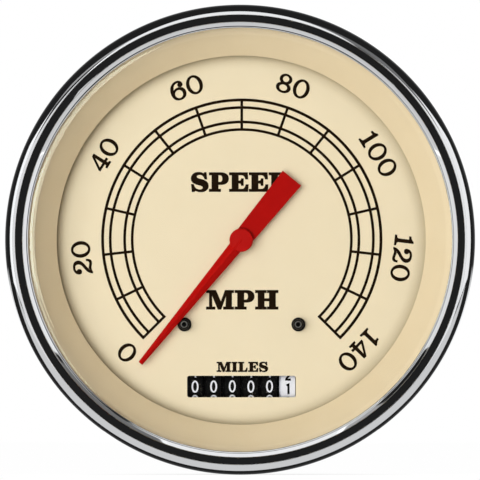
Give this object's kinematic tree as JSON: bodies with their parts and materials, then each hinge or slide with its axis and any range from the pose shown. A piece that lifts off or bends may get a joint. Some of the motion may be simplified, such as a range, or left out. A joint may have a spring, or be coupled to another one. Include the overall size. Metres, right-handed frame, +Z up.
{
  "type": "vintage speedometer",
  "caption": "Round dashboard speedometer with chrome bezel, cream dial, red pointer and drum odometer, driven by a cable through a magnet drag cup and worm gears.",
  "frame": {"origin": "on the gauge axis, in the plane where the back of the bezel seats on the panel", "axes": "-Y out of the dial towards the driver, +Y along the case to the cable fitting, +X to the right of the dial as read, +Z up the dial"},
  "size_m": [0.124, 0.0733, 0.124],
  "materials": {
    "bezel_chrome": "polished",
    "clear_glass": "polished",
    "lamp_glass": "polished",
    "gasket_rubber": "matte",
    "trim_cream": "satin",
    "dial_cream": "satin",
    "stop_black": "satin",
    "pointer_red": "satin",
    "tail_red": "satin",
    "brass": "turned",
    "spring_bronze": "drawn strip",
    "steel": "turned",
    "cup_aluminium": "spun",
    "magnet_alloy": "ground",
    "soft_iron": "plated",
    "zinc_casting": "as cast",
    "plated_case": "zinc plated",
    "plated_fittings": "zinc plated",
    "fibre": "cut fibre",
    "drum_black": "satin",
    "drum_white": "satin"
  },
  "bodies": {
    "gauge": {"case_cup": "plated_case", "bezel": "bezel_chrome", "lens": "clear_glass", "lens_gasket": "gasket_rubber", "trim_ring": "trim_cream", "dial_plate": "dial_cream", "zero_stop": "stop_black", "full_scale_stop": "stop_black", "hairspring": "spring_bronze", "spring_stud": "brass", "bridge": "steel", "bridge_screws": "steel", "spindle_bush": "brass", "movement_frame": "zinc_casting", "movement_screws": "steel", "flux_ring": "soft_iron", "front_bush": "brass", "rear_bush": "brass", "odometer_shaft": "steel", "odometer_plate_left": "steel", "odometer_plate_right": "steel", "odometer_screws": "steel", "pinion_shaft": "steel", "cable_ferrule": "plated_fittings", "mounting_studs": "plated_fittings", "lamp_socket_left": "plated_fittings", "lamp_socket_right": "plated_fittings", "lamp_bulb_left": "lamp_glass", "lamp_bulb_right": "lamp_glass", "lamp_tabs": "brass"},
    "pointer": {"pointer_needle": "pointer_red", "pointer_tail": "tail_red", "pointer_bush": "brass", "pointer_spindle": "steel", "speed_cup": "cup_aluminium", "spring_collet": "brass"},
    "drive": {"drive_shaft": "steel", "drive_worm": "steel", "magnet": "magnet_alloy", "magnet_carrier": "brass"},
    "cross": {"cross_shaft": "steel", "cross_wheel": "fibre", "cross_worm": "steel"},
    "counter": {"counter_shaft": "steel", "counter_wheel": "fibre", "counter_worm": "steel"},
    "tenths": {"drum_tenths": "drum_white", "odometer_wheel": "fibre"},
    "units": {"drum_units": "drum_black"},
    "tens": {"drum_tens": "drum_black"},
    "hundreds": {"drum_hundreds": "drum_black"},
    "thousands": {"drum_thousands": "drum_black"},
    "ten_thousands": {"drum_ten_thousands": "drum_black"},
    "pinion_1": {"transfer_pinion_1": "fibre"},
    "pinion_2": {"transfer_pinion_2": "fibre"},
    "pinion_3": {"transfer_pinion_3": "fibre"},
    "pinion_4": {"transfer_pinion_4": "fibre"},
    "pinion_5": {"transfer_pinion_5": "fibre"}
  },
  "joints": [
    {"name": "pointer_sweep", "type": "hinge", "parent": "gauge", "child": "pointer", "pos_m": [0, 0, 0], "axis": [0, 1, 0], "range_deg": [0, 281.4], "stiffness_Nm_per_rad": 0.0002, "springref_deg": -28.65},
    {"name": "drive_spin", "type": "hinge", "parent": "gauge", "child": "drive", "pos_m": [0, 0, 0], "axis": [0, 1, 0], "continuous": true},
    {"name": "cross_spin", "type": "hinge", "parent": "gauge", "child": "cross", "pos_m": [0.009, 0.0324, 0], "axis": [0, 0, 1], "continuous": true},
    {"name": "counter_spin", "type": "hinge", "parent": "gauge", "child": "counter", "pos_m": [0.01908, 0, -0.0302], "axis": [0, 1, 0], "continuous": true},
    {"name": "tenths_roll", "type": "hinge", "parent": "gauge", "child": "tenths", "pos_m": [0, 0.015, -0.0387], "axis": [1, 0, 0], "continuous": true},
    {"name": "units_roll", "type": "hinge", "parent": "gauge", "child": "units", "pos_m": [0, 0.015, -0.0387], "axis": [1, 0, 0], "continuous": true},
    {"name": "pinion_1_spin", "type": "hinge", "parent": "gauge", "child": "pinion_1", "pos_m": [0, 0.01995, -0.04365], "axis": [1, 0, 0], "continuous": true},
    {"name": "tens_roll", "type": "hinge", "parent": "gauge", "child": "tens", "pos_m": [0, 0.015, -0.0387], "axis": [1, 0, 0], "continuous": true},
    {"name": "pinion_2_spin", "type": "hinge", "parent": "gauge", "child": "pinion_2", "pos_m": [0, 0.01995, -0.04365], "axis": [1, 0, 0], "continuous": true},
    {"name": "hundreds_roll", "type": "hinge", "parent": "gauge", "child": "hundreds", "pos_m": [0, 0.015, -0.0387], "axis": [1, 0, 0], "continuous": true},
    {"name": "pinion_3_spin", "type": "hinge", "parent": "gauge", "child": "pinion_3", "pos_m": [0, 0.01995, -0.04365], "axis": [1, 0, 0], "continuous": true},
    {"name": "thousands_roll", "type": "hinge", "parent": "gauge", "child": "thousands", "pos_m": [0, 0.015, -0.0387], "axis": [1, 0, 0], "continuous": true},
    {"name": "pinion_4_spin", "type": "hinge", "parent": "gauge", "child": "pinion_4", "pos_m": [0, 0.01995, -0.04365], "axis": [1, 0, 0], "continuous": true},
    {"name": "ten_thousands_roll", "type": "hinge", "parent": "gauge", "child": "ten_thousands", "pos_m": [0, 0.015, -0.0387], "axis": [1, 0, 0], "continuous": true},
    {"name": "pinion_5_spin", "type": "hinge", "parent": "gauge", "child": "pinion_5", "pos_m": [0, 0.01995, -0.04365], "axis": [1, 0, 0], "continuous": true}
  ],
  "couplings": [
    {"joint": "cross_spin", "follows": "drive_spin", "ratio": 0.1},
    {"joint": "counter_spin", "follows": "drive_spin", "ratio": 0.01},
    {"joint": "tenths_roll", "follows": "drive_spin", "ratio": 0.001},
    {"joint": "units_roll", "follows": "drive_spin", "ratio": 0.0001},
    {"joint": "pinion_1_spin", "follows": "drive_spin", "ratio": -0.00025},
    {"joint": "tens_roll", "follows": "drive_spin", "ratio": 0.00001},
    {"joint": "pinion_2_spin", "follows": "drive_spin", "ratio": -0.000025},
    {"joint": "hundreds_roll", "follows": "drive_spin", "ratio": 0.000001},
    {"joint": "pinion_3_spin", "follows": "drive_spin", "ratio": -0.0000025},
    {"joint": "thousands_roll", "follows": "drive_spin", "ratio": 0.0000001},
    {"joint": "pinion_4_spin", "follows": "drive_spin", "ratio": -0.00000025},
    {"joint": "ten_thousands_roll", "follows": "drive_spin", "ratio": 0.00000001},
    {"joint": "pinion_5_spin", "follows": "drive_spin", "ratio": -0.000000025}
  ]
}
